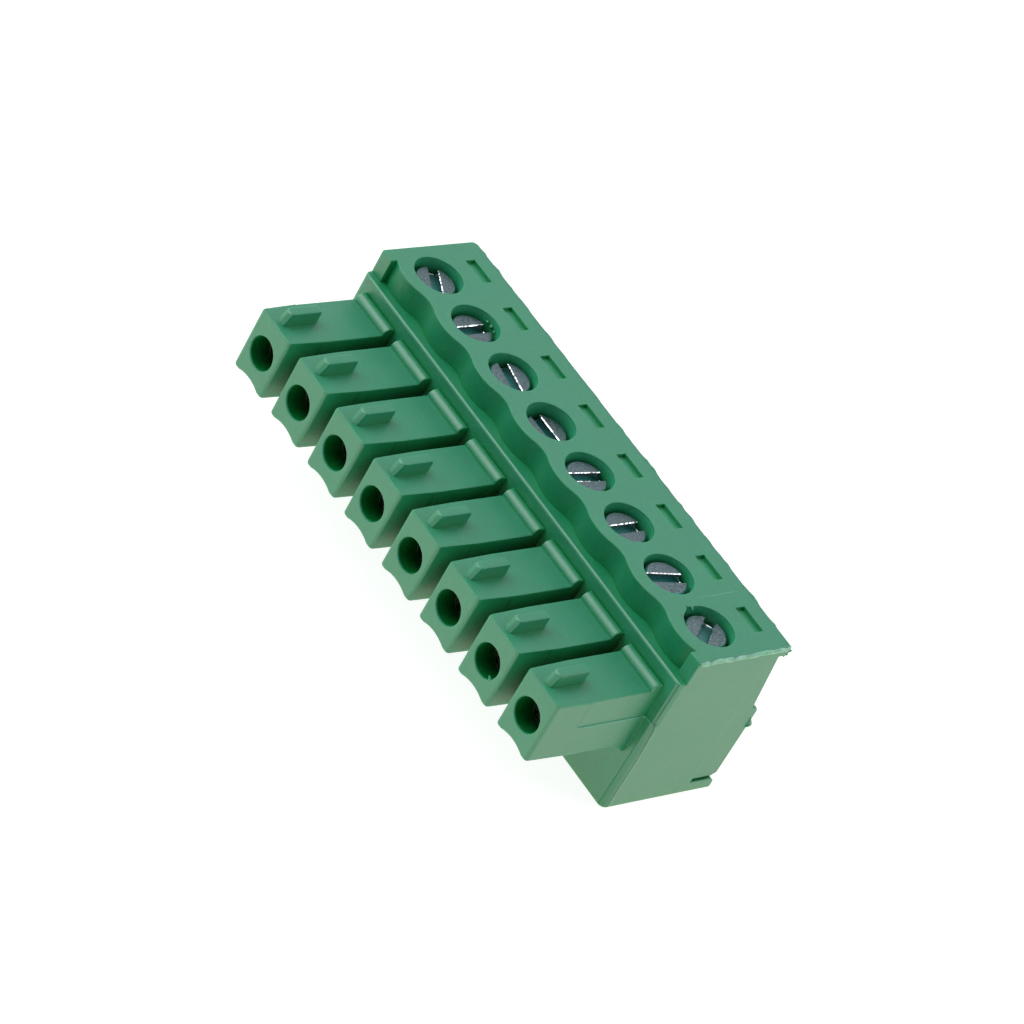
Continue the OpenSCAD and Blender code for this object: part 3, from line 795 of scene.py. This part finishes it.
def make_screw(pole, zinc, burnished, thread):
    """A slotted screw, its slot's edges rubbed bright, with the saw's burrs and its own thread."""
    name = f"screw_{pole}"
    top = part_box(name)[1] / MM
    axis = Vector((screw_at[pole].x, screw_y, top.z))
    piece = merged_copy(name, f"{name}_finished", zinc, burnished)

    def on_shank(place):
        off = place - axis
        return off.z < -head_h + 0.05 and off.xy.length < thread_r + 0.02

    # The thread is as wide as the plain shank was, so the shank shrinks to the thread's core
    select_where(piece, on_shank)
    ratio = core_r / thread_r
    bpy.ops.transform.resize(value=(ratio, ratio, 1), center_override=axis)
    close()

    turn = math.radians(slot_turn[pole - 1])
    along = Vector((math.cos(turn), math.sin(turn), 0))
    side = Vector((-along.y, along.x, 0))

    def slot_edge_radius(a, b):
        on_wall = all(abs(abs((end - axis).dot(side)) - slot_w / 2) < 0.02 for end in (a, b))
        return slot_edge_w if on_wall else 0.0

    round_edges(piece, slot_edge_radius, segments=1, material=1)

    # The slotting saw left a burr across each end of the slot's floor, and ridges along some floors
    half = side * (slot_w / 2 - 0.02)
    to_floor = Vector((0, 0, -slot_d))
    burrs = []
    for end in (-burr_off_axis, burr_off_axis):
        middle = axis + along * end + to_floor + Vector((0, 0, 0.02))
        points, radii = wavy(middle - half, middle + half, 4, Vector((0, 0, 0.04)), burr_r, 0.02)
        burrs.append(bead("burr", points, radii, burnished, sides=6))
    for off in saw_ridges.get(pole, ()):
        start, end = (axis + side * off + along * far + to_floor for far in saw_ridge_ends)
        points, radii = wavy(start, end, 8, Vector((0, 0, 0.02)), saw_ridge_r, 0.01)
        burrs.append(bead("saw_ridge", points, radii, burnished, sides=6))
    join(piece, *burrs, copy_moved(thread, "own_thread", axis + Vector((0, 0, -head_h + 0.05))))
    finish_piece(piece, name, "plated_screw", name)


def make_cage(pole, plated):
    """The clamp that rises on a screw, its stamped edges a little rounded."""
    name = f"cage_{pole}"
    piece = merged_copy(name, f"{name}_finished", plated)
    round_edges(piece, lambda a, b: strip_edge_r)
    finish_piece(piece, name, "clamp_strip", name)


def make_contact(pole, tinned):
    """The socket contact of a pole, its stamped edges a little rounded."""
    name = f"contact_{pole}"
    piece = merged_copy(name, f"{name}_finished", tinned)
    round_edges(piece, lambda a, b: strip_edge_r)
    finish_piece(piece, "block", "contact_strip", name)


bpy.context.scene.view_settings.view_transform = "Standard"
make_camera()
make_studio()
satin_green = moulded_polyamide(
    "moulded_polyamide", gloss=0.8, dark="#10835b", light="#1d8f69", hollow_shade_green="#049450")
# The mould's pins are left rough, so the pin holes are the dullest, and their darker greens are painted
# shade
matt_shaded_green = moulded_polyamide(
    "rough_shaded_polyamide", gloss=0.05, dark="#056c2c", light="#087434", hollow_shade_green="#026a20")
# The cores that leave the screws' wells are polished, so the wells are glossier, and their lighter greens
# are painted light
polished_lit_green = moulded_polyamide(
    "polished_lit_polyamide", gloss=1.0, dark="#2ba478", light="#39b088", hollow_shade_green="#20ae70")
# The slide that forms the scalloped wall and the corners beside the fingers is duller than the other faces,
# and their darker greens are painted shade
dull_shaded_green = moulded_polyamide(
    "dull_shaded_polyamide", gloss=0.3, dark="#097950", light="#16885e", hollow_shade_green="#02864c")
make_housing(satin_green, matt_shaded_green, polished_lit_green, dull_shaded_green, thin_polyamide())
zinc = zinc_plate()
burnished = burnished_zinc()
thread = make_thread(zinc)
plated = rolled_strip("plated_steel_strip", light="#b9bbc0", dark="#8e9095", smoothest=0.25)
tinned = rolled_strip("tinned_bronze_strip", light="#cfc9ba", dark="#a59f90", smoothest=0.3)
for pole in range(1, poles + 1):
    make_screw(pole, zinc, burnished, thread)
    make_cage(pole, plated)
    make_contact(pole, tinned)

bpy.data.objects.remove(thread)
